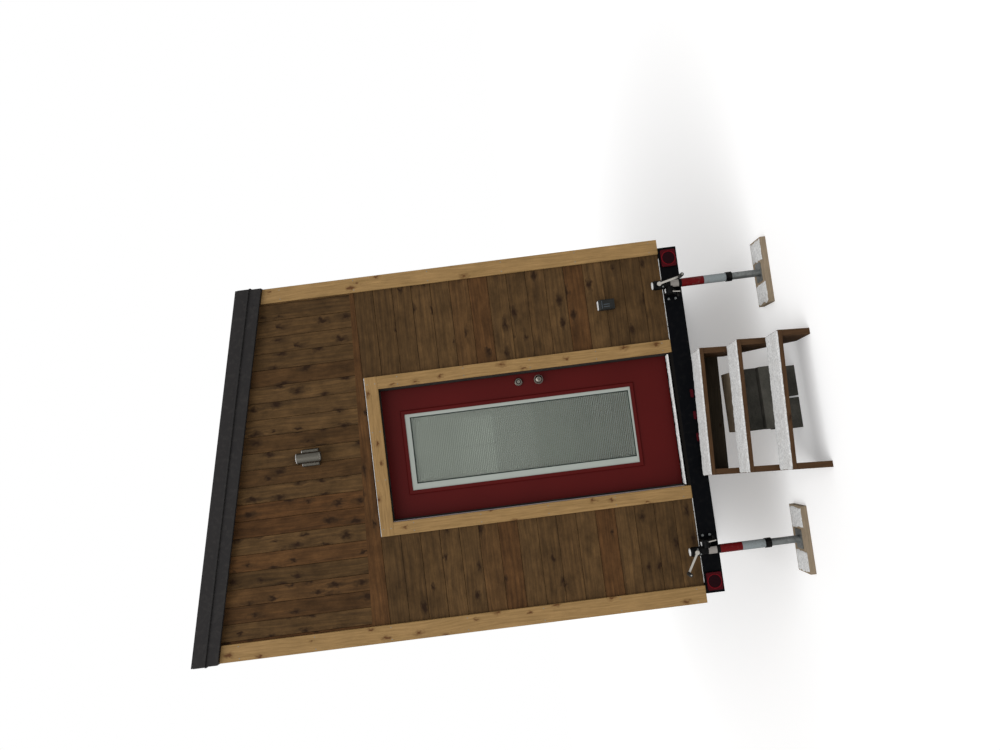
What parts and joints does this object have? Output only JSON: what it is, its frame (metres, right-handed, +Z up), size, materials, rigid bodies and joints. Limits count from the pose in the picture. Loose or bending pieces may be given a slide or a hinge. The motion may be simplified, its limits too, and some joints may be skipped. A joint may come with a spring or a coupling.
{
  "type": "tiny house on trailer",
  "caption": "Narrow timber-clad house with a single-slope metal roof on a low trailer, with a glazed entry door, wooden steps over a stack of blocks, and crank-down stabiliser jacks.",
  "frame": {"origin": "on the ground under the middle of the whole object's bounding box", "axes": "+X towards the low side of the roof, +Y from the entry door end towards the drawbar, +Z up"},
  "size_m": [2.556, 8.4627, 4.2239],
  "materials": {
    "siding": "dark walnut stain on sawn boards",
    "trim_wood": "clear-stained pine boards",
    "floor_wood": "plywood",
    "roof_core": "rafters and sheathing as one panel",
    "roof_metal": "charcoal coated steel",
    "edge_metal": "charcoal coated steel",
    "window_frame": "dark extruded frame",
    "glass": "sealed clear glass",
    "jamb": "brown primed jamb",
    "door_paint": "insulated leaf painted satin dark red",
    "lite_frame": "pale moulded frame",
    "bright_metal": "satin nickel",
    "sill_metal": "dark bronze anodised",
    "frame_paint": "black gloss paint on rolled steel",
    "wheel_steel": "silver wheel paint",
    "tyre": "black tread rubber",
    "galvanised": "zinc plated",
    "red_lens": "deep red lens",
    "lamp_metal": "brushed stainless tube",
    "outlet_plastic": "charcoal weatherproof cover",
    "step_wood": "walnut-stained fir",
    "pad_wood": "weathered timber",
    "concrete": "cast concrete block",
    "jack_paint": "black powder coat with red and silver bands",
    "grip": "black moulded grip"
  },
  "bodies": {
    "house": {"rear_wall_beside_door": "siding", "rear_wall_over_door": "siding", "front_wall": "siding", "side_walls": "siding", "floor_deck": "floor_wood", "window_frames": "window_frame", "window_glass": "glass", "window_trims": "trim_wood", "end_corner_boards": "trim_wood", "side_corner_boards": "trim_wood", "roof_deck": "roof_core", "roof_sheet": "roof_metal", "end_fascias": "edge_metal", "side_fascias": "edge_metal", "door_jambs": "jamb", "door_head": "jamb", "door_sill": "sill_metal", "door_side_trims": "trim_wood", "door_head_trim": "trim_wood", "door_hinges": "bright_metal", "rear_beam": "frame_paint", "frame_rails": "frame_paint", "crossmembers": "frame_paint", "wheel_arches": "frame_paint", "tyres": "tyre", "wheel_rims": "wheel_steel", "axles": "frame_paint", "tongue": "frame_paint", "coupler": "frame_paint", "tongue_jack": "galvanised", "rear_lights": "red_lens", "wall_lamp": "lamp_metal", "outlet_box": "outlet_plastic", "step_treads": "step_wood", "step_stringers": "step_wood", "step_apron": "step_wood", "pier_blocks": "concrete", "pier_shim": "pad_wood", "jack_pads": "pad_wood", "jack_brackets": "jack_paint", "jack_bodies": "jack_paint"},
    "door": {"door_slab": "door_paint", "door_lite_frame": "lite_frame", "door_glass": "glass", "lock_plates": "bright_metal", "door_knobs": "bright_metal"},
    "left_jack_leg": {"left_jack_leg": "galvanised"},
    "right_jack_leg": {"right_jack_leg": "galvanised"},
    "left_crank": {"left_crank_arm": "galvanised", "left_crank_grip": "grip"},
    "right_crank": {"right_crank_arm": "galvanised", "right_crank_grip": "grip"}
  },
  "joints": [
    {"name": "door_hinge", "type": "hinge", "parent": "house", "child": "door", "pos_m": [-0.4595, -3.2805, 1.75], "axis": [0, 0, 1], "range_deg": [0, 100]},
    {"name": "left_leg_slide", "type": "slide", "parent": "house", "child": "left_jack_leg", "axis": [0, 0, 1], "range_m": [0, 0.18]},
    {"name": "right_leg_slide", "type": "slide", "parent": "house", "child": "right_jack_leg", "axis": [0, 0, 1], "range_m": [0, 0.18]},
    {"name": "left_crank_turn", "type": "hinge", "parent": "house", "child": "left_crank", "pos_m": [-0.901, -3.5725, 0.745], "axis": [0, -1, 0], "continuous": true},
    {"name": "right_crank_turn", "type": "hinge", "parent": "house", "child": "right_crank", "pos_m": [0.926, -3.5725, 0.745], "axis": [0, -1, 0], "continuous": true}
  ]
}
